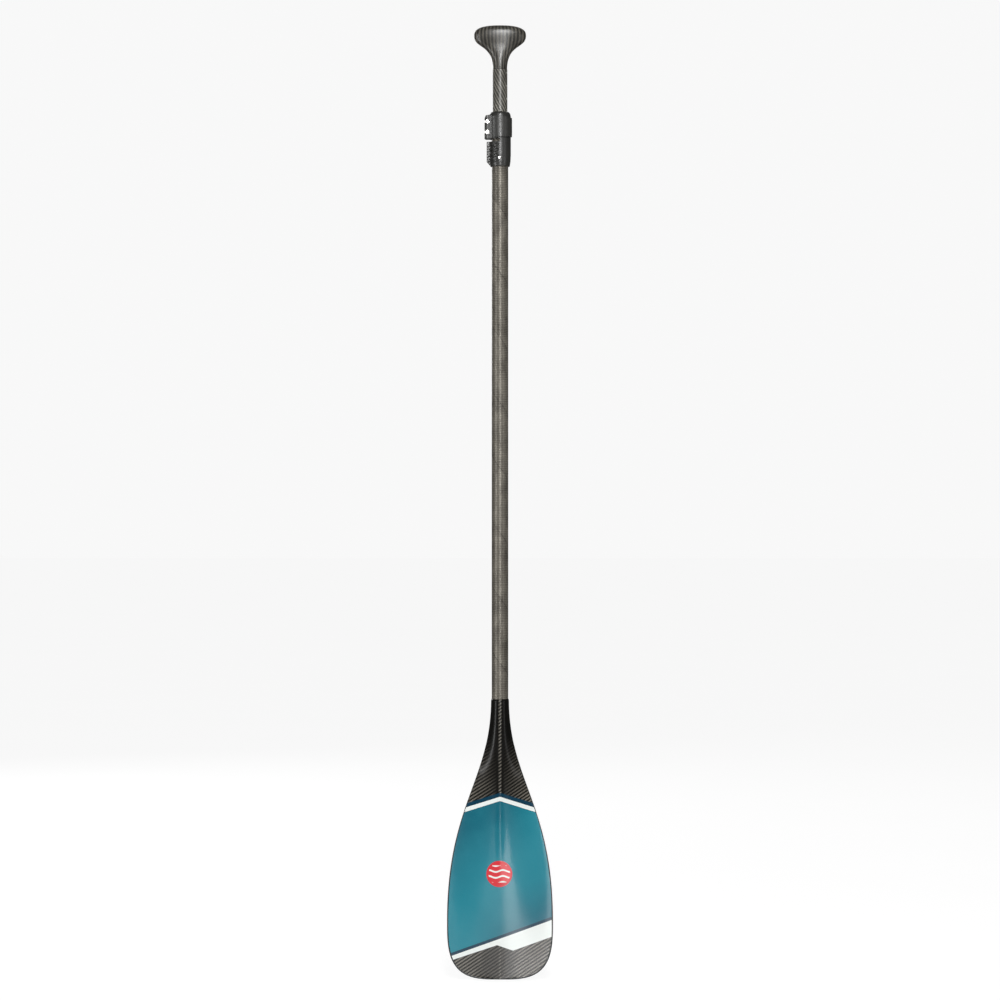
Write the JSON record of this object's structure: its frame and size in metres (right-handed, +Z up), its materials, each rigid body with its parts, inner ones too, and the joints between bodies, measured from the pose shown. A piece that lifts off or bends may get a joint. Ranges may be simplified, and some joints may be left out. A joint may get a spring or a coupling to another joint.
{
  "type": "single blade paddle",
  "caption": "Adjustable single blade paddle: teardrop carbon blade, round shaft, lever clamp, sliding extension tube and palm grip.",
  "frame": {"origin": "on the shaft's axis, where the lower hand holds the main shaft", "axes": "+Z up the shaft from blade to grip, +X to the right of the blade's face, -Y out of the blade's front face"},
  "size_m": [0.191, 0.0809, 1.7243],
  "materials": {
    "blade_skin": "gloss clear coat over paint and carbon twill",
    "foam": "closed-cell foam",
    "edge_rail": "satin",
    "shaft_carbon": "satin ribbed carbon",
    "twill_carbon": "satin carbon twill",
    "nylon": "soft matt moulding",
    "bush_nylon": "smooth moulding",
    "tab": "soft moulding",
    "steel": "stainless, turned"
  },
  "bodies": {
    "root": {"blade_front_skin": "blade_skin", "blade_back_skin": "blade_skin", "blade_core": "foam", "blade_edge_rail": "edge_rail", "main_shaft": "shaft_carbon", "shaft_bung": "foam", "clamp_collar": "nylon", "clamp_barrel": "steel", "clamp_bolts": "steel", "clamp_washers": "steel", "clamp_nuts": "steel", "cam_plate": "steel", "collar_rivets": "steel"},
    "bush": {"clamp_bush": "bush_nylon"},
    "extension": {"extension_tube": "twill_carbon", "extension_cap": "nylon", "guide_ring": "bush_nylon", "grip_front_shell": "twill_carbon", "grip_back_shell": "twill_carbon", "grip_core": "foam", "grip_spigot": "twill_carbon"},
    "lever": {"clamp_lever": "nylon", "lever_tab": "tab"}
  },
  "joints": [
    {"name": "extension_twist", "type": "hinge", "parent": "root", "child": "bush", "pos_m": [0, 0, 0.63], "axis": [0, 0, 1], "continuous": true},
    {"name": "extension_slide", "type": "slide", "parent": "bush", "child": "extension", "axis": [0, 0, 1], "range_m": [-0.075, 0.42]},
    {"name": "lever_swing", "type": "hinge", "parent": "root", "child": "lever", "pos_m": [-0.023, -0.0133, 0.6165], "axis": [0, 0, -1], "range_deg": [0, 130]}
  ]
}
